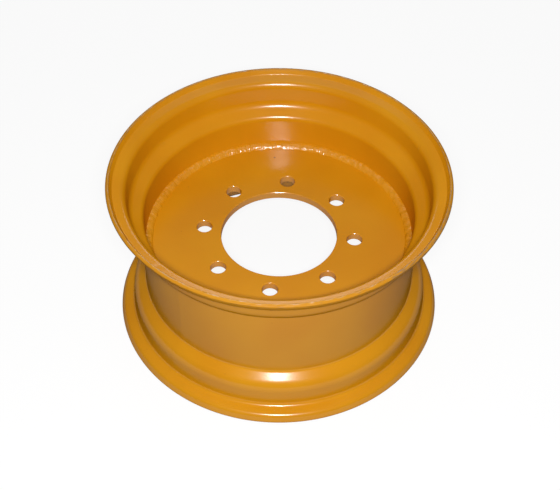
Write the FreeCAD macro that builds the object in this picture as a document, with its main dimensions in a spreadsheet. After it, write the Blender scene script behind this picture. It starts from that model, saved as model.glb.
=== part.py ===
import FreeCAD, Part
import math
import os

import Sketcher
from FreeCAD import Vector

# Bare welded disc wheel, lying on its lower flange with its axis upright.
# The origin is on the wheel's axis, in the middle of the rim's width.
# Lengths are in millimetres and angles in degrees.
SIZES = {
    # Rim: one rolled strip, the same above and below its middle.
    "bead_seat_dia": 406.4,
    "rim_width": 200.4,
    "flange_height": 19.4,
    "flange_depth": 14.6,
    "flange_lean": 17.0,
    "lip_lean": 25.0,
    "strip_thick": 5.5,
    "curl_radius": 7.5,
    "heel_radius": 6.0,
    "seat_taper": 5.0,
    "seat_length": 22.5,
    "shoulder_radius": 21.0,
    "slope_angle": 49.5,
    "well_depth": 19.7,
    "well_bend_radius": 5.0,
    "lip_round": 1.0,
    # Valve hole through the well wall, below the disc.
    "valve_hole_dia": 15.7,
    "valve_hole_drop": 30.0,
    # Disc: a flat plate pressed into the well.
    "disc_thick": 11.0,
    "disc_outset": 9.0,
    "disc_fit_gap": 0.15,
    "bore_dia": 156.0,
    "bolt_circle_dia": 203.2,
    "bolt_hole_dia": 21.0,
    "bolt_count": 8,
    "bolt_turn": -6.4,
    "hole_round": 1.0,
    # Fillet welds between the disc and the well wall.
    "weld_wall_leg": 6.0,
    "weld_disc_leg": 9.0,
    "weld_face_radius": 12.0,
}

doc = FreeCAD.newDocument("disc_wheel")
sheet = doc.addObject("Spreadsheet::Sheet", "Sizes")
for row, (alias, value) in enumerate(SIZES.items(), start=1):
    sheet.set(f"A{row}", alias)
    sheet.set(f"B{row}", str(value))
    sheet.setAlias(f"B{row}", alias)
doc.recompute()

START, END, CENTRE = range(1, 4)
X_AXIS, Y_AXIS = range(-1, -3, -1)
ORIGIN = X_AXIS


def size(alias):
    """Reads one driving size from the sheet."""
    return float(sheet.get(alias))


def new_body(name):
    """Adds an empty body that becomes one sub-part."""
    body = doc.addObject("PartDesign::Body", name)
    body.Label = name
    return body


def origin_plane(body, role):
    """Finds one of the body's own origin planes by its role."""
    return next(f for f in body.Origin.OriginFeatures if f.Role == role)


def new_sketch(body, name, role):
    """Adds a sketch on one of the body's origin planes."""
    sketch = body.newObject("Sketcher::SketchObject", name)
    sketch.AttachmentSupport = [(origin_plane(body, role), "")]
    sketch.MapMode = "FlatFace"
    return sketch


def bind(sketch, constraint, expression):
    """Adds a driving dimension and ties it to the sheet."""
    index = sketch.addConstraint(constraint)
    sketch.setExpression(f"Constraints[{index}]", expression)


def line(start, end):
    return Part.LineSegment(Vector(*start, 0), Vector(*end, 0))


def circle(centre, diameter):
    return Part.Circle(Vector(*centre, 0), Vector(0, 0, 1), diameter / 2)


def arc(centre, radius, first, last):
    """Arc that runs anticlockwise between two angles in degrees."""
    return Part.ArcOfCircle(circle(centre, 2 * radius), math.radians(first), math.radians(last))


def polar(centre, radius, degrees):
    """Point on a circle about a centre."""
    angle = math.radians(degrees)
    return centre[0] + radius * math.cos(angle), centre[1] + radius * math.sin(angle)


def turn_about_axis(body, name, sketch):
    """Revolves a section once round the wheel's axis."""
    solid = body.newObject("PartDesign::Revolution", name)
    solid.Profile = sketch
    solid.ReferenceAxis = (sketch, ["V_Axis"])
    solid.Angle = 360
    return solid


def round_edges(body, name, base, radius_alias, picked):
    """Rounds every edge of a feature for which picked(edge) is true."""
    doc.recompute()
    edges = [f"Edge{i}" for i, edge in enumerate(base.Shape.Edges, start=1) if picked(edge)]
    fillet = body.newObject("PartDesign::Fillet", name)
    fillet.Base = (base, edges)
    fillet.setExpression("Radius", f"Sizes.{radius_alias}")
    return fillet


def is_circle(edge, radius):
    """Tells whether an edge is a full circle of the given radius."""
    whole = isinstance(edge.Curve, Part.Circle) and edge.isClosed()
    return whole and math.isclose(edge.Curve.Radius, radius, abs_tol=1e-4)


def left_of(heading):
    """Unit vector to the left of a heading in degrees."""
    angle = math.radians(heading)
    return -math.sin(angle), math.cos(angle)


def bend_centre(before, after, offset):
    """Finds the point at one distance left of two lines, each given by a point and a heading."""
    (point, heading), (next_point, next_heading) = before, after
    (a, b), (c, d) = left_of(heading), left_of(next_heading)
    reach = a * point[0] + b * point[1] + offset
    next_reach = c * next_point[0] + d * next_point[1] + offset
    spread = a * d - b * c
    return (reach * d - next_reach * b) / spread, (a * next_reach - c * reach) / spread


def rim_headings():
    """Headings of the strip's five straight runs, followed from the lip to the well."""
    lip = -90 - size("lip_lean")
    flange = size("flange_lean") - 180
    seat = -90 - size("seat_taper")
    slope = -90 - size("slope_angle")
    return lip, flange, seat, slope, -90


def rim_section_points():
    """Works out the lip's tip, the end of the seat and the four bend centres of the rolled strip."""
    lip, flange, seat, slope, well = rim_headings()
    seat_corner = (size("bead_seat_dia") / 2, size("rim_width") / 2)
    tip = (seat_corner[0] + size("flange_height"), seat_corner[1] + size("flange_depth"))
    curl_at = bend_centre((tip, lip), (seat_corner, flange), -size("curl_radius"))
    heel_at = bend_centre((seat_corner, flange), (seat_corner, seat), size("heel_radius"))
    seat_end = polar(seat_corner, size("seat_length"), seat)
    shoulder_at = polar(seat_end, size("shoulder_radius"), seat - 90)
    slope_start = polar(shoulder_at, size("shoulder_radius"), slope + 90)
    well_foot = (seat_corner[0] - size("well_depth"), 0)
    bend_at = bend_centre((slope_start, slope), (well_foot, well), size("well_bend_radius"))
    return tip, seat_end, curl_at, heel_at, shoulder_at, bend_at


def rim_section(body):
    """Draws the upper half of the strip's section: tyre side, middle, inner side and lip."""
    tip, seat_end, curl_at, heel_at, shoulder_at, bend_at = rim_section_points()
    thick, taper = size("strip_thick"), size("seat_taper")
    lip_lean, slope_angle = size("lip_lean"), size("slope_angle")
    face_normal = size("flange_lean") - 90
    curl, heel = size("curl_radius"), size("heel_radius")
    shoulder, bend = size("shoulder_radius"), size("well_bend_radius")
    well = size("bead_seat_dia") / 2 - size("well_depth")
    sketch = new_sketch(body, "rim_section", "XZ_Plane")

    def add(geometry):
        return sketch.addGeometry(geometry, False)

    def add_arc(centre, radius, first, last):
        return add(arc(centre, radius, first, last))

    lip_wall = add(line(tip, polar(curl_at, curl, -lip_lean)))
    curl_out = add_arc(curl_at, curl, face_normal, -lip_lean)
    flange_face = add(line(polar(curl_at, curl, face_normal), polar(heel_at, heel, face_normal + 180)))
    heel_out = add_arc(heel_at, heel, face_normal + 180, 180 - taper)
    seat = add(line(polar(heel_at, heel, 180 - taper), seat_end))
    shoulder_out = add_arc(shoulder_at, shoulder, -slope_angle, -taper)
    slope_ends = polar(shoulder_at, shoulder, -slope_angle), polar(bend_at, bend, 180 - slope_angle)
    slope = add(line(*slope_ends))
    bend_out = add_arc(bend_at, bend, 180 - slope_angle, 180)
    well_wall = add(line((well, bend_at[1]), (well, 0)))
    middle = add(line((well, 0), (well - thick, 0)))
    well_back = add(line((well - thick, 0), (well - thick, bend_at[1])))
    bend_in = add_arc(bend_at, bend + thick, 180 - slope_angle, 180)
    back_ends = (
        polar(bend_at, bend + thick, 180 - slope_angle), polar(shoulder_at, shoulder - thick, -slope_angle),
    )
    slope_back = add(line(*back_ends))
    shoulder_in = add_arc(shoulder_at, shoulder - thick, -slope_angle, -taper)
    back_ends = polar(shoulder_at, shoulder - thick, -taper), polar(heel_at, heel + thick, 180 - taper)
    seat_back = add(line(*back_ends))
    heel_in = add_arc(heel_at, heel + thick, face_normal + 180, 180 - taper)
    back_ends = polar(heel_at, heel + thick, face_normal + 180), polar(curl_at, curl - thick, face_normal)
    flange_back = add(line(*back_ends))
    curl_in = add_arc(curl_at, curl - thick, face_normal, -lip_lean)
    tip_back = polar(tip, thick, 180 - lip_lean)
    lip_back = add(line(polar(curl_at, curl - thick, -lip_lean), tip_back))
    lip_end = add(line(tip_back, tip))
    corner_at = Vector(size("bead_seat_dia") / 2, size("rim_width") / 2, 0)
    seat_corner = sketch.addGeometry(Part.Point(corner_at), True)

    smooth_joins = (
        (lip_wall, END, curl_out, END), (curl_out, START, flange_face, START),
        (flange_face, END, heel_out, START), (heel_out, END, seat, START),
        (seat, END, shoulder_out, END), (shoulder_out, START, slope, START),
        (slope, END, bend_out, START), (bend_out, END, well_wall, START),
        (well_back, END, bend_in, END), (bend_in, START, slope_back, START),
        (slope_back, END, shoulder_in, START), (shoulder_in, END, seat_back, START),
        (seat_back, END, heel_in, END), (heel_in, START, flange_back, START),
        (flange_back, END, curl_in, START), (curl_in, END, lip_back, START),
    )
    for join in smooth_joins:
        sketch.addConstraint(Sketcher.Constraint("Tangent", *join))
    corners = (
        (well_wall, END, middle, START), (middle, END, well_back, START),
        (lip_back, END, lip_end, START), (lip_end, END, lip_wall, START),
    )
    shared_centres = (
        (curl_out, CENTRE, curl_in, CENTRE), (heel_out, CENTRE, heel_in, CENTRE),
        (shoulder_out, CENTRE, shoulder_in, CENTRE), (bend_out, CENTRE, bend_in, CENTRE),
    )
    for pair in corners + shared_centres:
        sketch.addConstraint(Sketcher.Constraint("Coincident", *pair))
    for upright in (well_wall, well_back):
        sketch.addConstraint(Sketcher.Constraint("Vertical", upright))
    for point in ((well_wall, END), (well_back, START)):
        sketch.addConstraint(Sketcher.Constraint("PointOnObject", *point, X_AXIS))
    for edge in (flange_face, seat):
        sketch.addConstraint(Sketcher.Constraint("PointOnObject", seat_corner, START, edge))
    sketch.addConstraint(Sketcher.Constraint("Parallel", lip_back, lip_wall))
    sketch.addConstraint(Sketcher.Constraint("Perpendicular", lip_end, lip_wall))

    def across(geometry, point, value, expression):
        bind(sketch, Sketcher.Constraint("DistanceX", ORIGIN, START, geometry, point, value), expression)

    def upward(geometry, point, value, expression):
        bind(sketch, Sketcher.Constraint("DistanceY", ORIGIN, START, geometry, point, value), expression)

    def rounded(geometry, value, expression):
        bind(sketch, Sketcher.Constraint("Radius", geometry, value), expression)

    def headed(geometry, heading, expression):
        bind(sketch, Sketcher.Constraint("Angle", geometry, math.radians(heading)), expression)

    across(seat_corner, START, corner_at.x, "Sizes.bead_seat_dia / 2")
    upward(seat_corner, START, corner_at.y, "Sizes.rim_width / 2")
    across(lip_wall, START, tip[0], "Sizes.bead_seat_dia / 2 + Sizes.flange_height")
    upward(lip_wall, START, tip[1], "Sizes.rim_width / 2 + Sizes.flange_depth")
    across(well_wall, END, well, "Sizes.bead_seat_dia / 2 - Sizes.well_depth")
    rounded(curl_out, curl, "Sizes.curl_radius")
    rounded(heel_out, heel, "Sizes.heel_radius")
    rounded(shoulder_out, shoulder, "Sizes.shoulder_radius")
    rounded(bend_out, bend, "Sizes.well_bend_radius")
    rounded(curl_in, curl - thick, "Sizes.curl_radius - Sizes.strip_thick")
    rounded(heel_in, heel + thick, "Sizes.heel_radius + Sizes.strip_thick")
    rounded(shoulder_in, shoulder - thick, "Sizes.shoulder_radius - Sizes.strip_thick")
    rounded(bend_in, bend + thick, "Sizes.well_bend_radius + Sizes.strip_thick")
    lip_heading, flange_heading, seat_heading, slope_heading, _ = rim_headings()
    headed(lip_wall, lip_heading, "-90 - Sizes.lip_lean")
    headed(flange_face, flange_heading, "Sizes.flange_lean - 180")
    headed(seat, seat_heading, "-90 - Sizes.seat_taper")
    headed(slope, slope_heading, "-90 - Sizes.slope_angle")
    bind(
        sketch,
        Sketcher.Constraint("Distance", seat_corner, START, seat, END, size("seat_length")),
        "Sizes.seat_length",
    )
    return sketch


def build_rim():
    """Rolls the strip's section round the axis, mirrors it and drills the valve hole."""
    body = new_body("rim")
    upper = turn_about_axis(body, "rim_upper_half", rim_section(body))
    doc.recompute()
    whole = body.newObject("PartDesign::Mirrored", "rim_both_halves")
    whole.Originals = [upper]
    whole.MirrorPlane = (origin_plane(body, "XY_Plane"), [""])
    body.Tip = whole
    tip = rim_section_points()[0]
    lip_corners = (tip, polar(tip, size("strip_thick"), 180 - size("lip_lean")))

    def on_lip(edge):
        height = abs(edge.CenterOfMass.z)
        return any(is_circle(edge, r) and math.isclose(height, z, abs_tol=1e-4) for r, z in lip_corners)

    lips = round_edges(body, "lip_edges", whole, "lip_round", on_lip)
    doc.recompute()
    sketch = new_sketch(body, "valve_hole_place", "XZ_Plane")
    hole = sketch.addGeometry(circle((0, -size("valve_hole_drop")), size("valve_hole_dia")))
    sketch.addConstraint(Sketcher.Constraint("PointOnObject", hole, CENTRE, Y_AXIS))
    bind(sketch, Sketcher.Constraint("Diameter", hole, size("valve_hole_dia")), "Sizes.valve_hole_dia")
    bind(
        sketch,
        Sketcher.Constraint("DistanceY", hole, CENTRE, ORIGIN, START, size("valve_hole_drop")),
        "Sizes.valve_hole_drop",
    )
    valve = body.newObject("PartDesign::Pocket", "valve_hole")
    valve.Profile = sketch
    valve.Type = "Length"
    valve.setExpression("Length", "Sizes.bead_seat_dia / 2")
    doc.recompute()
    cut = lips.Shape.Volume - valve.Shape.Volume
    wall = math.pi * (size("valve_hole_dia") / 2) ** 2 * size("strip_thick")
    if not 0.9 * wall < cut < 1.2 * wall:
        raise RuntimeError(f"the valve hole cut {cut:.0f} cubic mm where the wall holds {wall:.0f}")
    return body


def build_disc():
    """Cuts the plate with its centre bore, and drills the ring of bolt holes."""
    body = new_body("disc")
    outline = new_sketch(body, "disc_outline", "XY_Plane")
    outline.setExpression(".AttachmentOffset.Base.z", "Sizes.disc_outset - Sizes.disc_thick")
    outer_dia = size("bead_seat_dia") - 2 * (size("well_depth") + size("strip_thick") + size("disc_fit_gap"))
    circles = (
        (outer_dia, "Sizes.bead_seat_dia - 2 * (Sizes.well_depth + Sizes.strip_thick + Sizes.disc_fit_gap)"),
        (size("bore_dia"), "Sizes.bore_dia"),
    )
    for diameter, expression in circles:
        ring = outline.addGeometry(circle((0, 0), diameter))
        outline.addConstraint(Sketcher.Constraint("Coincident", ring, CENTRE, ORIGIN, START))
        bind(outline, Sketcher.Constraint("Diameter", ring, diameter), expression)
    plate = body.newObject("PartDesign::Pad", "disc_plate")
    plate.Profile = outline
    plate.setExpression("Length", "Sizes.disc_thick")
    doc.recompute()

    place = new_sketch(body, "bolt_hole_place", "XY_Plane")
    place.setExpression(".AttachmentOffset.Base.z", "Sizes.disc_outset")
    hole = place.addGeometry(circle((size("bolt_circle_dia") / 2, 0), size("bolt_hole_dia")))
    place.addConstraint(Sketcher.Constraint("PointOnObject", hole, CENTRE, X_AXIS))
    bind(place, Sketcher.Constraint("Diameter", hole, size("bolt_hole_dia")), "Sizes.bolt_hole_dia")
    bind(
        place,
        Sketcher.Constraint("DistanceX", ORIGIN, START, hole, CENTRE, size("bolt_circle_dia") / 2),
        "Sizes.bolt_circle_dia / 2",
    )
    first = body.newObject("PartDesign::Pocket", "first_bolt_hole")
    first.Profile = place
    first.Type = "ThroughAll"
    doc.recompute()
    ring = body.newObject("PartDesign::PolarPattern", "bolt_holes")
    ring.Originals = [first]
    ring.Axis = (place, ["N_Axis"])
    ring.Angle = 360
    ring.setExpression("Occurrences", "Sizes.bolt_count")
    body.Tip = ring
    doc.recompute()
    holes = plate.Shape.Volume - ring.Shape.Volume
    expected = size("bolt_count") * math.pi * (size("bolt_hole_dia") / 2) ** 2 * size("disc_thick")
    if not math.isclose(holes, expected, rel_tol=1e-3):
        raise RuntimeError(f"the bolt holes cut {holes:.0f} cubic mm where {expected:.0f} is due")
    hole_radii = (size("bore_dia") / 2, size("bolt_hole_dia") / 2)
    round_edges(
        body, "hole_edges", ring, "hole_round",
        lambda edge: any(is_circle(edge, radius) for radius in hole_radii),
    )
    body.setExpression(".Placement.Rotation.Angle", "Sizes.bolt_turn")
    return body


def build_weld(name, side):
    """Runs a fillet weld round the corner of disc and well wall, above (+1) or below (-1) the disc."""
    body = new_body(name)
    sketch = new_sketch(body, f"{name}_section", "XZ_Plane")
    wall = size("bead_seat_dia") / 2 - size("well_depth") - size("strip_thick")
    face = size("disc_outset") if side > 0 else size("disc_outset") - size("disc_thick")
    root = (wall, face)
    wall_toe = (wall, face + side * size("weld_wall_leg"))
    disc_toe = (wall - size("weld_disc_leg"), face)
    run = Vector(*wall_toe, 0) - Vector(*disc_toe, 0)
    across_run = Vector(run.y, -run.x, 0).normalize() * side
    sag = math.sqrt(size("weld_face_radius") ** 2 - run.Length ** 2 / 4)
    centre = (Vector(*wall_toe, 0) + Vector(*disc_toe, 0)) / 2 + across_run * sag
    toes = (wall_toe, disc_toe)
    toe_angles = [math.degrees(math.atan2(y - centre.y, x - centre.x)) % 360 for x, y in toes]
    up_wall = sketch.addGeometry(line(root, wall_toe))
    along_disc = sketch.addGeometry(line(disc_toe, root))
    bead = sketch.addGeometry(arc((centre.x, centre.y), size("weld_face_radius"), *sorted(toe_angles)))
    bead_wall_end, bead_disc_end = (START, END) if side > 0 else (END, START)
    corners = (
        (up_wall, END, bead, bead_wall_end), (bead, bead_disc_end, along_disc, START),
        (along_disc, END, up_wall, START),
    )
    for pair in corners:
        sketch.addConstraint(Sketcher.Constraint("Coincident", *pair))
    sketch.addConstraint(Sketcher.Constraint("Vertical", up_wall))
    sketch.addConstraint(Sketcher.Constraint("Horizontal", along_disc))
    bind(
        sketch,
        Sketcher.Constraint("DistanceX", ORIGIN, START, up_wall, START, wall),
        "Sizes.bead_seat_dia / 2 - Sizes.well_depth - Sizes.strip_thick",
    )
    face_level = "Sizes.disc_outset" if side > 0 else "Sizes.disc_outset - Sizes.disc_thick"
    bind(sketch, Sketcher.Constraint("DistanceY", ORIGIN, START, up_wall, START, face), face_level)
    bind(
        sketch,
        Sketcher.Constraint("DistanceY", ORIGIN, START, up_wall, END, wall_toe[1]),
        f"{face_level} {'+' if side > 0 else '-'} Sizes.weld_wall_leg",
    )
    bind(
        sketch,
        Sketcher.Constraint("DistanceX", along_disc, START, along_disc, END, size("weld_disc_leg")),
        "Sizes.weld_disc_leg",
    )
    bind(sketch, Sketcher.Constraint("Radius", bead, size("weld_face_radius")), "Sizes.weld_face_radius")
    turn_about_axis(body, f"{name}_bead", sketch)
    return body


PARTS = [build_rim(), build_disc(), build_weld("front_weld", +1), build_weld("back_weld", -1)]
doc.recompute()

faulty = [item.Name for item in doc.Objects if {"Invalid", "Error"} & set(item.State)]
if faulty:
    raise RuntimeError(f"features failed: {', '.join(faulty)}")
for body in PARTS:
    if body.Shape.isNull() or not body.Shape.isValid():
        raise RuntimeError(f"{body.Label} has no valid solid")

os.makedirs("parts", exist_ok=True)
for body in PARTS:
    body.Shape.exportStep(f"parts/{body.Label}.step")
    box = body.Shape.optimalBoundingBox(False)
    volume = body.Shape.Volume / 1000
    print(f"{body.Label}: {volume:.1f} cm3, {box.XLength:.2f} wide, z {box.ZMin:.2f} to {box.ZMax:.2f}")
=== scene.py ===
"""Looks of a bare welded disc wheel: rolled rim, bolt-on disc and fillet welds in worn ochre paint."""

import logging
import math
from collections.abc import Callable, Mapping, Sequence
from dataclasses import dataclass
from enum import Enum
from functools import reduce

import bmesh
import bpy
from mathutils import Matrix, Vector

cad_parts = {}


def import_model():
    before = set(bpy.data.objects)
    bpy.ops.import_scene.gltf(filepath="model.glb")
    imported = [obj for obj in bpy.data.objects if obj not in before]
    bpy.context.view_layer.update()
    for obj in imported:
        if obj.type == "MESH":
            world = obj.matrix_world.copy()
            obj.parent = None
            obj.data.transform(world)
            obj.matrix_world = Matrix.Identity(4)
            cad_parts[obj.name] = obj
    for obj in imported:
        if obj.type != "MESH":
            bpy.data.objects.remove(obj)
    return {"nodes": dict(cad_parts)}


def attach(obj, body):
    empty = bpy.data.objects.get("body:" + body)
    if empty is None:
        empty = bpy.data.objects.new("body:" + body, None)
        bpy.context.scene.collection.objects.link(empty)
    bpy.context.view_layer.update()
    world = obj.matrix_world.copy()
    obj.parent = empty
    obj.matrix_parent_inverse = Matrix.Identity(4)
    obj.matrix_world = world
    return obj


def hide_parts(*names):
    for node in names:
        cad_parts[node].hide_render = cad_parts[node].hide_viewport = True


LOG = logging.getLogger("disc_wheel")
BODY = "root"
MERGE_GAP = 1e-6
PICK_GAP = 1e-5

Colour = tuple[float, float, float, float]
Levels = tuple[float, float]


class Slot(Enum):
    """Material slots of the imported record."""

    PAINT = "paint"
    WELD_PAINT = "weld_paint"


class Face(Enum):
    """The two faces of the disc, by the way they look along the wheel's axis."""

    FRONT = 1
    BACK = -1


class Pick(Enum):
    """What a selection in edit mode is made of."""

    POINTS = "VERT"
    EDGES = "EDGE"
    FACES = "FACE"


def srgb(red: int, green: int, blue: int) -> Colour:
    """Turns a colour as read from a screen into the linear one that shaders take.

    Args:
        red: Red from 0 to 255.
        green: Green from 0 to 255.
        blue: Blue from 0 to 255.

    Returns:
        The linear colour with full alpha.
    """
    def linear(level: int) -> float:
        """Undoes the screen's curve on one channel."""
        share = level / 255
        return share / 12.92 if share <= 0.04045 else ((share + 0.055) / 1.055) ** 2.4

    return linear(red), linear(green), linear(blue), 1.0


def heading(degrees: float) -> Vector:
    """Unit step in the section's plane, at an angle from outward towards upward."""
    angle = math.radians(degrees)
    return Vector((math.cos(angle), 0, math.sin(angle)))


@dataclass(frozen=True)
class Run:
    """A straight run of the strip's tyre side, in the plane of the axis."""

    through: Vector
    degrees: float

    @property
    def ahead(self) -> Vector:
        """Unit step along the run, from the lip towards the well."""
        return heading(self.degrees)

    @property
    def tyre_side(self) -> Vector:
        """Unit step off the run towards the tyre."""
        return heading(self.degrees + 90)

    def foot(self, centre: Vector) -> Vector:
        """Finds the point of the run that is nearest to the centre of a bend."""
        return centre - (centre - self.through).dot(self.tyre_side) * self.tyre_side

    def bend_into(self, after: "Run", radius: float) -> Vector:
        """Finds the centre of the bend that leads into another run.

        Args:
            after: The run that follows.
            radius: Radius of the tyre side, less than 0 where the strip bends away from the tyre.

        Returns:
            The centre.
        """
        runs = (self, after)
        reach = Vector([run.tyre_side.dot(run.through) + radius for run in runs])
        across, up = Matrix([(run.tyre_side.x, run.tyre_side.z) for run in runs]).inverted() @ reach
        return Vector((across, 0, up))


class Signal:
    """A number that flows through a material, worked on with Python's own arithmetic."""

    def __init__(self, board: "Board", socket: bpy.types.NodeSocket) -> None:
        """Wraps one output socket.

        Args:
            board: The material that the socket belongs to.
            socket: The output that gives the number.
        """
        self.board = board
        self.socket = socket

    def _math(self, operation: str, *terms: "Signal | float") -> "Signal":
        """Adds one Math node.

        Args:
            operation: The node's operation.
            terms: What goes into its sockets, in order.

        Returns:
            The node's result.
        """
        node = self.board.node("ShaderNodeMath", {"operation": operation}, dict(enumerate(terms)))
        return Signal(self.board, node.outputs[0])

    def __add__(self, other: "Signal | float") -> "Signal":
        """Sum."""
        return self._math("ADD", self, other)

    def __sub__(self, other: "Signal | float") -> "Signal":
        """Difference."""
        return self._math("SUBTRACT", self, other)

    def __rsub__(self, other: float) -> "Signal":
        """Difference with the number first."""
        return self._math("SUBTRACT", other, self)

    def __mul__(self, other: "Signal | float") -> "Signal":
        """Product."""
        return self._math("MULTIPLY", self, other)

    def __truediv__(self, other: "Signal | float") -> "Signal":
        """Quotient."""
        return self._math("DIVIDE", self, other)

    def __pow__(self, power: float) -> "Signal":
        """Power."""
        return self._math("POWER", self, power)

    def __abs__(self) -> "Signal":
        """Size without sign."""
        return self._math("ABSOLUTE", self)

    def sine(self) -> "Signal":
        """Sine of an angle in radians."""
        return self._math("SINE", self)

    def angle_from(self, along: "Signal") -> "Signal":
        """Angle of the direction with this part sideways and the other part along."""
        return self._math("ARCTAN2", self, along)

    def at_least(self, other: "Signal | float") -> "Signal":
        """The larger of two numbers."""
        return self._math("MAXIMUM", self, other)

    def fade(self, low: float, high: float) -> "Signal":
        """Runs smoothly from 0 at one level to 1 at another.

        Args:
            low: Level that gives 0.
            high: Level that gives 1, which may be the smaller of the two.

        Returns:
            The faded number, from 0 to 1.
        """
        start, end, first, last = (low, high, 0.0, 1.0) if low < high else (high, low, 1.0, 0.0)
        ranges = {"Value": self, "From Min": start, "From Max": end, "To Min": first, "To Max": last}
        node = self.board.node("ShaderNodeMapRange", {"interpolation_type": "SMOOTHSTEP"}, ranges)
        return Signal(self.board, node.outputs["Result"])


class Board:
    """The nodes of one material or world."""

    def __init__(self, tree: bpy.types.NodeTree) -> None:
        """Clears a node tree to work on.

        Args:
            tree: The tree of a material or world.
        """
        self.tree = tree
        self.tree.nodes.clear()

    def node(
        self,
        kind: str,
        settings: Mapping[str, object] | None = None,
        inputs: Mapping[str | int, object] | None = None,
    ) -> bpy.types.Node:
        """Adds a node, sets it up and wires it.

        Args:
            kind: The node's type.
            settings: The node's own properties, set before its sockets.
            inputs: Value or source of each socket, by its name or number.

        Returns:
            The node.
        """
        made = self.tree.nodes.new(kind)
        for name, setting in (settings or {}).items():
            setattr(made, name, setting)
        for name, source in (inputs or {}).items():
            if isinstance(source, Signal):
                source = source.socket
            if isinstance(source, bpy.types.NodeSocket):
                self.tree.links.new(source, made.inputs[name])
            else:
                made.inputs[name].default_value = source
        return made

    def place(self) -> tuple[bpy.types.NodeSocket, Signal, Signal, Signal]:
        """Reads the point being shaded, in metres in the wheel's frame.

        Returns:
            The point, and its three parts.
        """
        point = self.node("ShaderNodeTexCoord").outputs["Object"]
        parts = self.node("ShaderNodeSeparateXYZ", inputs={"Vector": point})
        return point, *(Signal(self, parts.outputs[axis]) for axis in "XYZ")

    def noise(self, point: bpy.types.NodeSocket, grain: float, detail: float = 2.0) -> Signal:
        """Cloudy noise about a half.

        Args:
            point: Where it is read.
            grain: Size of its clouds, in metres.
            detail: How many finer layers it has.

        Returns:
            The noise.
        """
        sizes = {"Vector": point, "Scale": 1 / grain, "Detail": detail}
        return Signal(self, self.node("ShaderNodeTexNoise", inputs=sizes).outputs[0])

    def specks(self, point: bpy.types.NodeSocket, spacing: float) -> Signal:
        """Distance to the nearest of scattered points, as a share of their spacing."""
        sizes = {"Vector": point, "Scale": 1 / spacing}
        return Signal(self, self.node("ShaderNodeTexVoronoi", inputs=sizes).outputs["Distance"])

    def blend(
        self,
        share: Signal,
        first: bpy.types.NodeSocket | Colour,
        second: bpy.types.NodeSocket | Colour,
    ) -> bpy.types.NodeSocket:
        """Mixes two colours.

        Args:
            share: How much of the second one shows.
            first: Colour at share 0.
            second: Colour at share 1.

        Returns:
            The mixed colour.
        """
        made = self.node("ShaderNodeMix", {"data_type": "RGBA"}, {0: share, 6: first, 7: second})
        return made.outputs[2]

    def relief(self, height: Signal) -> bpy.types.NodeSocket:
        """Turns a height in metres into a bumped normal."""
        return self.node("ShaderNodeBump", inputs={"Height": height, "Distance": 1.0}).outputs["Normal"]


@dataclass
class Skin:
    """What varies over a coat of paint. The height is in metres."""

    colour: bpy.types.NodeSocket
    roughness: Signal
    height: Signal


@dataclass(frozen=True)
class Paint:
    """Semi-gloss ochre paint, sprayed over rolled steel. Lengths are in metres."""

    name: str = "ochre_paint"
    colour: Colour = srgb(205, 139, 14)
    deep: Colour = srgb(194, 123, 5)
    dust: Colour = srgb(120, 74, 18)
    roughness: float = 0.215
    roughness_grain: float = 0.03
    roughness_spread: float = 0.08
    shine: float = 0.038
    cloud_grain: float = 0.11
    cloud_levels: Levels = (0.3, 0.7)
    cloud_share: float = 0.55
    dust_spacing: float = 0.013
    dust_levels: Levels = (0.05, 0.03)
    dust_patch_grain: float = 0.05
    dust_patch_levels: Levels = (0.55, 0.65)
    dust_share: float = 0.6
    peel_grain: float = 0.0035
    peel_detail: float = 1.0
    peel_depth: float = 0.00002

    def material(self) -> bpy.types.Material:
        """Makes the material.

        Returns:
            The material, ready to be put on a piece.
        """
        made = bpy.data.materials.new(self.name)
        made.use_nodes = True
        board = Board(made.node_tree)
        skin = self.surface(board)
        shared = {"Roughness": skin.roughness, "Normal": board.relief(skin.height)}
        pigment = {"Base Color": skin.colour, "Specular IOR Level": 0.0}
        body = board.node("ShaderNodeBsdfPrincipled", inputs={**shared, **pigment})
        gloss = board.node("ShaderNodeBsdfAnisotropic", inputs={**shared, "Color": (1, 1, 1, 1)})
        layers = {0: self.gloss(board), 1: body.outputs[0], 2: gloss.outputs[0]}
        coated = board.node("ShaderNodeMixShader", inputs=layers)
        board.node("ShaderNodeOutputMaterial", inputs={"Surface": coated.outputs[0]})
        return made

    def gloss(self, board: Board) -> Signal | float:
        """Says what share of the light the paint mirrors."""
        return self.shine

    def surface(self, board: Board) -> Skin:
        """Works out the paint's clouds, dust and orange peel.

        Args:
            board: The material's nodes.

        Returns:
            The colour, roughness and height.
        """
        point = board.place()[0]
        clouds = board.noise(point, self.cloud_grain).fade(*self.cloud_levels)
        colour = board.blend(clouds * self.cloud_share, self.colour, self.deep)
        specks = board.specks(point, self.dust_spacing).fade(*self.dust_levels)
        patches = board.noise(point, self.dust_patch_grain).fade(*self.dust_patch_levels)
        colour = board.blend(specks * patches * self.dust_share, colour, self.dust)
        uneven = board.noise(point, self.roughness_grain) * self.roughness_spread
        roughness = uneven + (self.roughness - self.roughness_spread / 2)
        peel = board.noise(point, self.peel_grain, self.peel_detail)
        return Skin(colour, roughness, peel * self.peel_depth)


@dataclass(frozen=True)
class Scuff:
    """A stretch of the lips that is rubbed harder than the rest.

    The direction of its middle is in degrees from the right. Its reach is given by the cosines of the
    angles off the middle where the rubbing starts and where it is full.
    """

    degrees: float
    reach: Levels
    strength: float

    def rubbing(self, across: Signal, away: Signal) -> Signal:
        """Works out how hard a place is rubbed.

        Args:
            across: The place's part to the right.
            away: The place's part away from the front.

        Returns:
            The rubbing, from 0 to the full strength.
        """
        angle = math.radians(self.degrees)
        radius = (across * across + away * away) ** 0.5
        cosine = (across * math.cos(angle) + away * math.sin(angle)) / radius
        return cosine.fade(*self.reach) * self.strength


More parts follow.
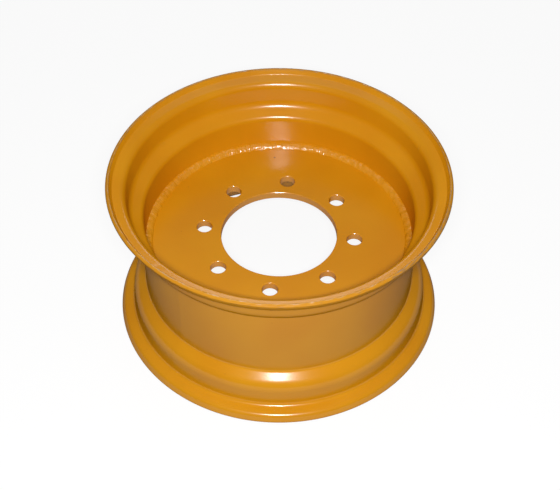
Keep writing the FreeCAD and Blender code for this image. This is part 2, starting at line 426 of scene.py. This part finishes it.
@dataclass(frozen=True)
class RimPaint(Paint):
    """The rim's paint: worn lips with painted glints at their inner edges, a little swollen over the
    strip's joint.
    """

    name: str = "rim_paint"
    # Pale colour painted in streaks on each lip's inner end edge: painted glints over paint worn thin.
    glint_on_worn_edge: Colour = srgb(206, 160, 92)
    glint_on_worn_edge_levels: Levels = (0.35, 0.6)
    glint_on_worn_edge_share: float = 0.6
    handled: Colour = srgb(172, 118, 40)
    handled_share: float = 0.45
    handled_dulling: float = 0.8
    handled_roughness: float = 0.16
    scuffed: Colour = srgb(146, 110, 68)
    scuffed_levels: Levels = (0.6, 0.76)
    scuffed_share: float = 0.8
    scuffs: tuple[Scuff, ...] = (Scuff(-32.0, (0.86, 0.98), 1.0), Scuff(90.0, (0.94, 0.99), 0.8))
    scuff_boost: float = 0.17
    lip_height: float = 0.1148
    lip_radius: float = 0.2226
    lip_lean: float = 25.0
    lip_band: Levels = (-0.003, -0.0006)
    edge_band: Levels = (-0.002, -0.0006)
    edge_inside: Levels = (-0.0030, -0.0048)
    streak_stretch: float = 9.0
    streak_grain: float = 0.0012
    streak_detail: float = 3.0
    bead_band: Levels = (-0.0014, -0.0006)
    bead_levels: Levels = (0.52, 0.64)
    bead_shine: float = 0.24
    bead_depth: float = 0.0009
    joint_degrees: float = -133.0
    joint_width: float = 0.009
    joint_fade: float = 0.02
    joint_depth: float = 0.0002

    def surface(self, board: Board) -> Skin:
        """Works out the paint with its worn lips, the painted glints on their inner edges and the
        joint's swelling.

        Args:
            board: The material's nodes.

        Returns:
            The colour, roughness and height.
        """
        _, across, away, _ = board.place()
        past_end, outside, streaks = self.along_lip(board)
        lip = past_end.fade(*self.lip_band)
        rubbed = reduce(Signal.at_least, [scuff.rubbing(across, away) for scuff in self.scuffs])
        scuffed = lip * (streaks + rubbed * self.scuff_boost).fade(*self.scuffed_levels)
        # Painted glints: pale streaks on the inner edge of each lip's end, where the paint is also worn
        # thin.
        glinted_worn_edge = self.inner_edge(past_end, outside) * streaks.fade(*self.glint_on_worn_edge_levels)
        skin = super().surface(board)
        colour = board.blend(lip * self.handled_share, skin.colour, self.handled)
        # Lays the painted glints (pale streaks on worn paint) onto the lip's inner end edge.
        colour = board.blend(glinted_worn_edge * self.glint_on_worn_edge_share, colour, self.glint_on_worn_edge)
        colour = board.blend(scuffed * self.scuffed_share, colour, self.scuffed)
        joint = self.joint_line(across, away) * self.joint_depth
        beads = past_end.fade(*self.bead_band) * streaks * self.bead_depth
        return Skin(colour, skin.roughness + lip * self.handled_roughness, skin.height + joint + beads)

    def gloss(self, board: Board) -> Signal:
        """Makes the lips dull, with bright beads along their inner edges.

        Args:
            board: The material's nodes.

        Returns:
            The share of the light that is mirrored.
        """
        past_end, outside, streaks = self.along_lip(board)
        dull = past_end.fade(*self.lip_band) * (self.shine * self.handled_dulling)
        beads = self.inner_edge(past_end, outside) * streaks.fade(*self.bead_levels)
        return self.shine - dull + beads * self.bead_shine

    def along_lip(self, board: Board) -> tuple[Signal, Signal, Signal]:
        """Measures the place on a lip.

        Args:
            board: The material's nodes.

        Returns:
            Distance past the lip's end, distance outside its outer face, and streaks that run round it.
        """
        _, across, away, up = board.place()
        lean = math.radians(self.lip_lean)
        out = (across * across + away * away) ** 0.5 - self.lip_radius
        rise = abs(up) - self.lip_height
        past_end = out * math.sin(lean) + rise * math.cos(lean)
        outside = out * math.cos(lean) - rise * math.sin(lean)
        round_lip = away.angle_from(across) * (self.lip_radius / self.streak_stretch)
        place = {"X": round_lip, "Y": past_end, "Z": outside + up}
        stretched = board.node("ShaderNodeCombineXYZ", inputs=place).outputs[0]
        return past_end, outside, board.noise(stretched, self.streak_grain, self.streak_detail)

    def inner_edge(self, past_end: Signal, outside: Signal) -> Signal:
        """Shows the inner edge of a lip's end, from the distances past and outside the lip."""
        return outside.fade(*self.edge_inside) * past_end.fade(*self.edge_band)

    def joint_line(self, across: Signal, away: Signal) -> Signal:
        """Shows the soft band where the strip's ends are joined.

        Args:
            across: Part to the right.
            away: Part away from the front.

        Returns:
            1 on the band's middle, and 0 beside it.
        """
        angle = math.radians(self.joint_degrees)
        outward = across * math.cos(angle) + away * math.sin(angle)
        beside = abs(across * math.sin(angle) - away * math.cos(angle))
        return beside.fade(self.joint_width, 0.0) * outward.fade(0.0, self.joint_fade)


@dataclass(frozen=True)
class DiscPaint(Paint):
    """The disc's paint, with one small chip near the weld."""

    name: str = "disc_paint"
    shine: float = 0.065
    chip_colour: Colour = srgb(84, 52, 20)
    chip_radius: float = 0.1508
    chip_degrees: float = 92.7
    chip_size: float = 0.0016
    chip_grain: float = 0.001
    chip_fade: float = 1.6
    chip_share: float = 0.85

    def surface(self, board: Board) -> Skin:
        """Works out the paint with its chip.

        Args:
            board: The material's nodes.

        Returns:
            The colour, roughness and height.
        """
        point, across, away, _ = board.place()
        angle = math.radians(self.chip_degrees)
        sideways = across - self.chip_radius * math.cos(angle)
        along = away - self.chip_radius * math.sin(angle)
        ragged = board.noise(point, self.chip_grain) * self.chip_size
        distance = (sideways * sideways + along * along) ** 0.5 + ragged
        chip = distance.fade(self.chip_size * self.chip_fade, self.chip_size)
        skin = super().surface(board)
        skin.colour = board.blend(chip * self.chip_share, skin.colour, self.chip_colour)
        return skin


@dataclass(frozen=True)
class WeldPaint(Paint):
    """The same paint over a hand-laid bead, with its ripples."""

    name: str = "weld_paint"
    colour: Colour = srgb(208, 143, 18)
    shine: float = 0.08
    peel_depth: float = 0.0
    ripples: int = 330
    ripple_depth: float = 0.00012
    ripple_slant: float = 400.0
    wobble_grain: float = 0.02
    wobble_turn: float = 9.0
    lump_grain: float = 0.008
    lump_depth: float = 0.0022

    def surface(self, board: Board) -> Skin:
        """Works out the paint with the bead's ripples and lumps.

        Args:
            board: The material's nodes.

        Returns:
            The colour, roughness and height.
        """
        point, across, away, up = board.place()
        turn = away.angle_from(across) * float(self.ripples)
        wobble = board.noise(point, self.wobble_grain) * self.wobble_turn
        wave = (turn + wobble + up * self.ripple_slant).sine() * 0.5 + 0.5
        lump = board.noise(point, self.lump_grain)
        skin = super().surface(board)
        skin.height = skin.height + wave * self.ripple_depth + lump * self.lump_depth
        return skin


class Workpiece:
    """One mesh on the bench, shaped with Blender's operators."""

    def __init__(self, name: str, add: Callable[..., set[str]], **sizes: object) -> None:
        """Adds the primitive that the piece starts from.

        Args:
            name: The piece's name.
            add: Operator that adds the primitive.
            sizes: The operator's settings.
        """
        bpy.ops.object.select_all(action="DESELECT")
        add(**sizes)
        self.object = bpy.context.active_object
        self.object.name = name
        self.object.data.name = name

    def settle(self, scale: Sequence[float] = (1, 1, 1)) -> None:
        """Stretches the primitive and puts its place, turn and scale into its mesh."""
        self.object.scale = scale
        bpy.ops.object.transform_apply(location=True, rotation=True, scale=True)

    def edit(self) -> None:
        """Opens the mesh with all of it selected."""
        bpy.ops.object.mode_set(mode="EDIT")
        bpy.ops.mesh.select_mode(type="VERT")
        bpy.ops.mesh.select_all(action="SELECT")

    def close(self) -> None:
        """Leaves edit mode."""
        bpy.ops.object.mode_set(mode="OBJECT")

    def select(self, kind: Pick, wanted: Callable[[Vector], bool]) -> None:
        """Selects by place.

        Args:
            kind: What is selected.
            wanted: Says whether something with its middle at a point is selected.
        """
        bpy.ops.mesh.select_mode(type=kind.value)
        bpy.ops.mesh.select_all(action="DESELECT")
        mesh = bmesh.from_edit_mesh(self.object.data)
        stores = {Pick.POINTS: mesh.verts, Pick.EDGES: mesh.edges, Pick.FACES: mesh.faces}
        for item in stores[kind]:
            points = [item] if kind is Pick.POINTS else item.verts
            item.select_set(wanted(sum((p.co for p in points), Vector()) / len(points)))
        mesh.select_flush_mode()
        bmesh.update_edit_mesh(self.object.data)

    def keep_outline(self) -> None:
        """Leaves only the outer edges of a flat section."""
        bpy.ops.mesh.select_mode(type="EDGE")
        bpy.ops.mesh.select_all(action="SELECT")
        bpy.ops.mesh.region_to_loop()
        bpy.ops.mesh.select_all(action="INVERT")
        bpy.ops.mesh.delete(type="EDGE_FACE")
        bpy.ops.mesh.select_all(action="SELECT")
        bpy.ops.mesh.delete(type="ONLY_FACE")
        bpy.ops.mesh.select_mode(type="VERT")

    def turn_round_axis(self, steps: int) -> None:
        """Spins the section once round the wheel's axis and closes the ring.

        Args:
            steps: How many parts the ring has.
        """
        bpy.ops.mesh.select_all(action="SELECT")
        bpy.ops.mesh.spin(steps=steps, angle=2 * math.pi, center=(0, 0, 0), axis=(0, 0, 1))
        bpy.ops.mesh.select_all(action="SELECT")
        bpy.ops.mesh.remove_doubles(threshold=MERGE_GAP)
        bpy.ops.mesh.normals_make_consistent(inside=False)

    def modify(self, kind: str, **settings: object) -> None:
        """Adds a modifier and applies it.

        Args:
            kind: The modifier's type.
            settings: Its properties.
        """
        made = self.object.modifiers.new(kind.lower(), kind)
        for name, setting in settings.items():
            setattr(made, name, setting)
        bpy.ops.object.modifier_apply(modifier=made.name)

    def drill(self, cutter: "Workpiece") -> None:
        """Cuts another piece's shape out of this one and throws the cutter away.

        Args:
            cutter: The piece that is cut out.
        """
        bpy.ops.object.select_all(action="DESELECT")
        bpy.context.view_layer.objects.active = self.object
        self.object.select_set(True)
        self.modify("BOOLEAN", operation="DIFFERENCE", object=cutter.object, solver="EXACT")
        bpy.data.objects.remove(cutter.object)

    def smooth(self, degrees: float) -> None:
        """Shades the piece smoothly, up to edges sharper than an angle."""
        bpy.ops.object.shade_smooth_by_angle(angle=math.radians(degrees))


@dataclass
class RolledRim:
    """The roll-formed strip with its flanges, seats, shoulders and well. Lengths are in metres."""

    node: str = "rim"
    paint: Paint = RimPaint()
    slot: Slot = Slot.PAINT
    seat_radius: float = 0.2032
    half_width: float = 0.1002
    flange_height: float = 0.0194
    flange_depth: float = 0.0146
    flange_lean: float = 17.0
    lip_lean: float = 25.0
    strip: float = 0.0055
    curl: float = 0.0075
    heel: float = 0.006
    seat_taper: float = 5.0
    seat_run: float = 0.0225
    shoulder: float = 0.021
    slope_angle: float = 51.0
    well_depth: float = 0.0197
    well_bend: float = 0.005
    outer_round: float = 0.0025
    inner_round: float = 0.001
    round_steps: int = 6
    ease: float = 0.0012
    valve_radius: float = 0.00785
    valve_drop: float = 0.030
    valve_steps: int = 48
    ring_steps: int = 240
    degrees_per_step: float = 5.0
    least_steps: int = 3
    sharp_degrees: float = 35.0

    def build(self) -> Workpiece:
        """Rolls the strip's section, turns it into a ring and drills the valve hole.

        Returns:
            The finished rim.
        """
        runs, centres = self.path()
        lip = runs[0]
        lip_run = (lip.foot(centres[0]) - lip.through).length
        middle = lip.through + lip_run / 2 * lip.ahead - self.strip / 2 * lip.tyre_side
        piece = Workpiece(
            "rolled_rim",
            bpy.ops.mesh.primitive_plane_add,
            size=1,
            location=middle,
            rotation=(math.pi / 2, math.radians(self.lip_lean), 0),
        )
        piece.settle((self.strip, lip_run, 1))
        piece.edit()
        piece.select(Pick.POINTS, lambda at: (at - middle).dot(lip.ahead) > 0)
        self.roll(runs, centres)
        piece.close()
        piece.modify("MIRROR", use_axis=(False, False, True), use_clip=True, merge_threshold=MERGE_GAP)
        piece.edit()
        piece.keep_outline()
        inner_tip = lip.through - self.strip * lip.tyre_side
        for tip, rounding in ((lip.through, self.outer_round), (inner_tip, self.inner_round)):
            piece.select(Pick.POINTS, lambda at: (Vector((at.x, 0, abs(at.z))) - tip).length < PICK_GAP)
            bpy.ops.mesh.bevel(offset=rounding, segments=self.round_steps, affect="VERTICES")
        piece.turn_round_axis(self.ring_steps)
        piece.close()
        piece.drill(self.valve_drill())
        piece.smooth(self.sharp_degrees)
        return piece

    def path(self) -> tuple[list[Run], list[Vector]]:
        """Lays out the strip's tyre side from the lip to the well.

        Returns:
            The straight runs, and the centres of the bends between them.
        """
        corner = Vector((self.seat_radius, 0, self.half_width))
        lip = Run(corner + Vector((self.flange_height, 0, self.flange_depth)), -90 - self.lip_lean)
        flange = Run(corner, self.flange_lean - 180)
        seat = Run(corner, -90 - self.seat_taper)
        shoulder_at = corner + self.seat_run * seat.ahead - self.shoulder * seat.tyre_side
        slope = Run(shoulder_at + self.shoulder * heading(-self.slope_angle), -90 - self.slope_angle)
        well = Run(Vector((self.seat_radius - self.well_depth, 0, 0)), -90.0)
        curl_at = lip.bend_into(flange, -self.curl)
        heel_at = flange.bend_into(seat, self.heel)
        bend_at = slope.bend_into(well, self.well_bend)
        return [lip, flange, seat, slope, well], [curl_at, heel_at, shoulder_at, bend_at]

    def roll(self, runs: Sequence[Run], centres: Sequence[Vector]) -> None:
        """Carries the strip's leading edge from the lip to the middle of the well, run by run.

        Args:
            runs: The straight runs.
            centres: The centres of the bends between them.
        """
        stops = [*centres[1:], Vector((self.seat_radius, 0, 0))]
        for before, after, centre, stop in zip(runs, runs[1:], centres, stops):
            self.bend(centre, before.degrees - after.degrees)
            self.straight(after.foot(stop) - after.foot(centre))

    def bend(self, centre: Vector, degrees: float) -> None:
        """Bends the strip about a point of its section.

        Args:
            centre: Centre of the bend.
            degrees: How far it turns, from the upward direction towards the outward one.
        """
        steps = max(self.least_steps, round(abs(degrees) / self.degrees_per_step))
        bpy.ops.mesh.spin(steps=steps, angle=math.radians(degrees), center=centre, axis=(0, -1, 0))

    def straight(self, travel: Vector) -> None:
        """Carries the strip on without a bend, with short steps at both ends so that it shades flat.

        Args:
            travel: How far and which way the strip goes.
        """
        ease = self.ease / travel.length
        for share in (ease, 1 - 2 * ease, ease):
            bpy.ops.mesh.extrude_region_move(TRANSFORM_OT_translate={"value": travel * share})

    def valve_drill(self) -> Workpiece:
        """Makes the drill for the valve hole, below the disc on the far side.

        Returns:
            The drill.
        """
        wall = self.seat_radius - self.well_depth - self.strip / 2
        drill = Workpiece(
            "valve_drill",
            bpy.ops.mesh.primitive_cylinder_add,
            vertices=self.valve_steps,
            radius=self.valve_radius,
            depth=4 * self.strip,
            location=(0, wall, -self.valve_drop),
            rotation=(math.pi / 2, 0, 0),
        )
        drill.settle()
        return drill


@dataclass
class BoltDisc:
    """The flat plate with its centre bore and bolt holes. Lengths are in metres."""

    node: str = "disc"
    paint: Paint = DiscPaint()
    slot: Slot = Slot.PAINT
    radius: float = 0.17785
    thickness: float = 0.011
    top: float = 0.009
    bore_radius: float = 0.078
    bolt_circle_radius: float = 0.1016
    bolt_hole_radius: float = 0.0105
    bolt_count: int = 8
    bolt_turn_degrees: float = -6.4
    hole_round: float = 0.001
    hole_round_steps: int = 3
    hole_pick_gap: float = 5e-5
    ring_steps: int = 192
    hole_steps: int = 48
    sharp_degrees: float = 12.0

    @property
    def middle(self) -> float:
        """Height of the middle of the plate."""
        return self.top - self.thickness / 2

    def build(self) -> Workpiece:
        """Cuts the plate, drills it and rounds the edges of its holes.

        Returns:
            The finished disc.
        """
        piece = Workpiece(
            "bolt_disc",
            bpy.ops.mesh.primitive_cylinder_add,
            vertices=self.ring_steps,
            radius=self.radius,
            depth=self.thickness,
            location=(0, 0, self.middle),
        )
        piece.settle()
        piece.drill(self.cutter("bore_cutter", self.bore_radius, self.ring_steps, Vector()))
        for place in self.bolt_places():
            piece.drill(self.cutter("bolt_drill", self.bolt_hole_radius, self.hole_steps, place))
        piece.edit()
        piece.select(Pick.EDGES, self.on_hole_edge)
        bpy.ops.mesh.bevel(offset=self.hole_round, segments=self.hole_round_steps, affect="EDGES")
        piece.close()
        piece.smooth(self.sharp_degrees)
        return piece

    def bolt_places(self) -> list[Vector]:
        """Lists the centres of the bolt holes.

        Returns:
            The centres, round the axis.
        """
        pitch = 2 * math.pi / self.bolt_count
        turn = math.radians(self.bolt_turn_degrees)
        first = Vector((self.bolt_circle_radius, 0, 0))
        angles = [turn + pitch * number for number in range(self.bolt_count)]
        return [Matrix.Rotation(angle, 3, "Z") @ first for angle in angles]

    def on_hole_edge(self, at: Vector) -> bool:
        """Says whether an edge lies on the rim of the bore or of a bolt hole.

        Args:
            at: The edge's middle.

        Returns:
            True on the rim of a hole.
        """
        if abs(abs(at.z - self.middle) - self.thickness / 2) > MERGE_GAP:
            return False
        flat = Vector((at.x, at.y, 0))
        gaps = [abs((flat - place).length - self.bolt_hole_radius) for place in self.bolt_places()]
        gaps.append(abs(flat.length - self.bore_radius))
        return min(gaps) < self.hole_pick_gap

    def cutter(self, name: str, radius: float, steps: int, place: Vector) -> Workpiece:
        """Makes a round cutter that goes through the plate.

        Args:
            name: The cutter's name.
            radius: Radius of the hole.
            steps: How many sides the hole has.
            place: Centre of the hole.

        Returns:
            The cutter.
        """
        cutter = Workpiece(
            name,
            bpy.ops.mesh.primitive_cylinder_add,
            vertices=steps,
            radius=radius,
            depth=3 * self.thickness,
            location=place + Vector((0, 0, self.middle)),
        )
        cutter.settle()
        return cutter


@dataclass
class WeldRing:
    """A hand-laid fillet weld between one face of the disc and the wall. Lengths are in metres."""

    face: Face
    paint: Paint = WeldPaint()
    slot: Slot = Slot.WELD_PAINT
    wall_radius: float = 0.178
    disc_top: float = 0.009
    disc_thickness: float = 0.011
    wall_leg: float = 0.006
    disc_leg: float = 0.009
    face_radius: float = 0.012
    bite: float = 0.002
    lump: float = 0.0012
    lump_grain: float = 0.010
    lump_layers: int = 2
    section_steps: int = 96
    ring_steps: int = 720
    sharp_degrees: float = 60.0

    @property
    def node(self) -> str:
        """Name of the CAD node that the weld stands for."""
        return f"{self.face.name.lower()}_weld"

    def build(self) -> Workpiece:
        """Lays the bead's section in the corner, carries it round and makes it uneven.

        Returns:
            The finished weld.
        """
        side = self.face.value
        level = self.disc_top if self.face is Face.FRONT else self.disc_top - self.disc_thickness
        chord = math.hypot(self.disc_leg, self.wall_leg)
        sink = math.sqrt(self.face_radius ** 2 - (chord / 2) ** 2) / chord
        across = self.wall_radius - self.disc_leg / 2 + sink * self.wall_leg
        piece = Workpiece(
            f"{self.face.name.lower()}_weld_bead",
            bpy.ops.mesh.primitive_circle_add,
            vertices=self.section_steps,
            radius=self.face_radius,
            fill_type="NGON",
            location=(across, 0, level + side * (self.wall_leg / 2 - sink * self.disc_leg)),
            rotation=(math.pi / 2, 0, 0),
        )
        piece.settle()
        piece.edit()
        self.trim((self.wall_radius + self.bite, 0, level), (1, 0, 0))
        self.trim((self.wall_radius, 0, level - side * self.bite), (0, 0, -side))
        piece.keep_outline()
        piece.turn_round_axis(self.ring_steps)
        piece.close()
        self.roughen(piece)
        piece.smooth(self.sharp_degrees)
        return piece

    @staticmethod
    def trim(point: Sequence[float], outward: Sequence[float]) -> None:
        """Cuts the section off beyond a plane.

        Args:
            point: A point of the plane.
            outward: Direction of the side that is cut off.
        """
        bpy.ops.mesh.select_all(action="SELECT")
        bpy.ops.mesh.bisect(plane_co=point, plane_no=outward, clear_outer=True)

    def roughen(self, piece: Workpiece) -> None:
        """Gives the bead the lumps of hand welding.

        Args:
            piece: The even bead.
        """
        clouds = bpy.data.textures.new("bead_lumps", "CLOUDS")
        clouds.noise_scale = self.lump_grain
        clouds.noise_depth = self.lump_layers
        piece.modify("DISPLACE", texture=clouds, strength=self.lump, mid_level=0.5)
        bpy.data.textures.remove(clouds)


def station(azimuth: float, elevation: float, distance: float) -> Matrix:
    """Works out a place round the wheel, turned to look at its middle.

    Args:
        azimuth: Direction of the place from the middle, in degrees from the right.
        elevation: How far it is raised, in degrees.
        distance: How far off it is.

    Returns:
        The matrix of a camera or lamp there.
    """
    about = Matrix.Rotation(math.radians(azimuth + 90), 4, "Z")
    tilt = Matrix.Rotation(math.radians(90 - elevation), 4, "X")
    return about @ tilt @ Matrix.Translation((0, 0, distance))


@dataclass(frozen=True)
class Lamp:
    """A soft lamp with an even face. Lengths are in metres."""

    name: str
    width: float
    height: float
    power: float

    def hang(self, place: Matrix) -> None:
        """Puts the lamp in its place.

        Args:
            place: The lamp's matrix. It shines against its own upward axis.
        """
        bpy.ops.object.light_add(type="AREA")
        lamp = bpy.context.active_object
        lamp.name = self.name
        lamp.matrix_world = place
        lamp.data.shape = "ELLIPSE"
        lamp.data.size = self.width
        lamp.data.size_y = self.height
        lamp.data.energy = self.power


@dataclass
class Studio:
    """Camera, lamps and floor. Lengths are in metres, angles in degrees."""

    lens_mm: float = 71.592
    sensor_mm: float = 36.0
    azimuth: float = -90.0
    distance: float = 1.50672
    elevation: float = 46.174
    yaw: float = -0.05038
    pitch: float = -0.39438
    roll: float = -0.32879
    key: Lamp = Lamp("key_lamp", 0.26, 0.10, 22.7)
    top: Lamp = Lamp("top_lamp", 2.0, 2.0, 6.0)
    top_place: tuple[float, float, float] = (90.0, 78.0, 2.5)
    low_back: Lamp = Lamp("low_back_lamp", 2.6, 0.7, 20.0)
    low_back_place: tuple[float, float, float] = (90.0, 16.0, 3.0)
    fill_strength: float = 0.18
    floor_level: float = -0.1168
    floor_size: float = 40.0
    floor_glow: float = 0.88
    floor_white: Colour = srgb(250, 250, 250)
    floor_grey: Colour = srgb(115, 115, 115)

    def eye(self) -> Matrix:
        """Works out where the camera stands and how it is turned.

        Returns:
            The camera's matrix.
        """
        place = station(self.azimuth, self.elevation, self.distance)
        for degrees, axis in ((self.yaw, "Y"), (self.pitch, "X"), (-self.roll, "Z")):
            place = place @ Matrix.Rotation(math.radians(degrees), 4, axis)
        return place

    def set_camera(self) -> None:
        """Puts the camera where the photograph was taken from."""
        bpy.ops.object.camera_add()
        camera = bpy.context.active_object
        camera.name = "camera"
        camera.matrix_world = self.eye()
        camera.data.lens = self.lens_mm
        camera.data.sensor_width = self.sensor_mm
        bpy.context.scene.camera = camera

    def set_lamps(self) -> None:
        """Lights the wheel from the lens, from above and from behind, and a little from all round."""
        self.key.hang(self.eye())
        self.top.hang(station(*self.top_place))
        self.low_back.hang(station(*self.low_back_place))
        world = bpy.data.worlds.new("even_light")
        world.use_nodes = True
        board = Board(world.node_tree)
        sky = board.node("ShaderNodeBackground", inputs={"Strength": self.fill_strength})
        board.node("ShaderNodeOutputWorld", inputs={"Surface": sky.outputs[0]})
        bpy.context.scene.world = world
        bpy.context.scene.view_settings.view_transform = "Standard"

    def lay_floor(self) -> None:
        """Lays the pale floor under the lower flange."""
        floor = Workpiece(
            "floor",
            bpy.ops.mesh.primitive_plane_add,
            size=self.floor_size,
            location=(0, 0, self.floor_level),
        )
        floor.settle()
        floor.object.data.materials.append(self.floor_material())

    def floor_material(self) -> bpy.types.Material:
        """Makes the floor white where it is looked at, with the wheel's shadow kept.

        Returns:
            The floor's material.
        """
        made = bpy.data.materials.new("white_floor")
        made.use_nodes = True
        board = Board(made.node_tree)
        rays = board.node("ShaderNodeLightPath")
        seen = Signal(board, rays.outputs["Is Camera Ray"])
        for name in ("Is Glossy Ray", "Is Transmission Ray"):
            seen = seen.at_least(Signal(board, rays.outputs[name]))
        colour = board.blend(seen, self.floor_grey, self.floor_white)
        matt = board.node("ShaderNodeBsdfDiffuse", inputs={"Color": colour})
        glow = board.node("ShaderNodeEmission", inputs={"Strength": 1.0})
        mixed = board.node(
            "ShaderNodeMixShader",
            inputs={0: seen * self.floor_glow, 1: matt.outputs[0], 2: glow.outputs[0]},
        )
        board.node("ShaderNodeOutputMaterial", inputs={"Surface": mixed.outputs[0]})
        return made


def main(frame: dict[str, object]) -> None:
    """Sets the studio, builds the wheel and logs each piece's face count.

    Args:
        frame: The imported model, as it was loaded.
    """
    logging.basicConfig(level=logging.INFO, format="%(name)s: %(message)s")
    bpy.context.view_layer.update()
    LOG.info("frame with nodes %s", ", ".join(sorted(frame["nodes"])))
    studio = Studio()
    studio.set_camera()
    studio.set_lamps()
    studio.lay_floor()
    for assembly in (RolledRim(), BoltDisc(), WeldRing(Face.FRONT), WeldRing(Face.BACK)):
        piece = assembly.build().object
        piece.data.materials.append(assembly.paint.material())
        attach(piece, BODY)
        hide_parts(assembly.node)
        faces = len(piece.data.polygons)
        LOG.info("%s stands for %s, with %d faces", piece.name, assembly.node, faces)


if __name__ == "__main__":
    main(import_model())
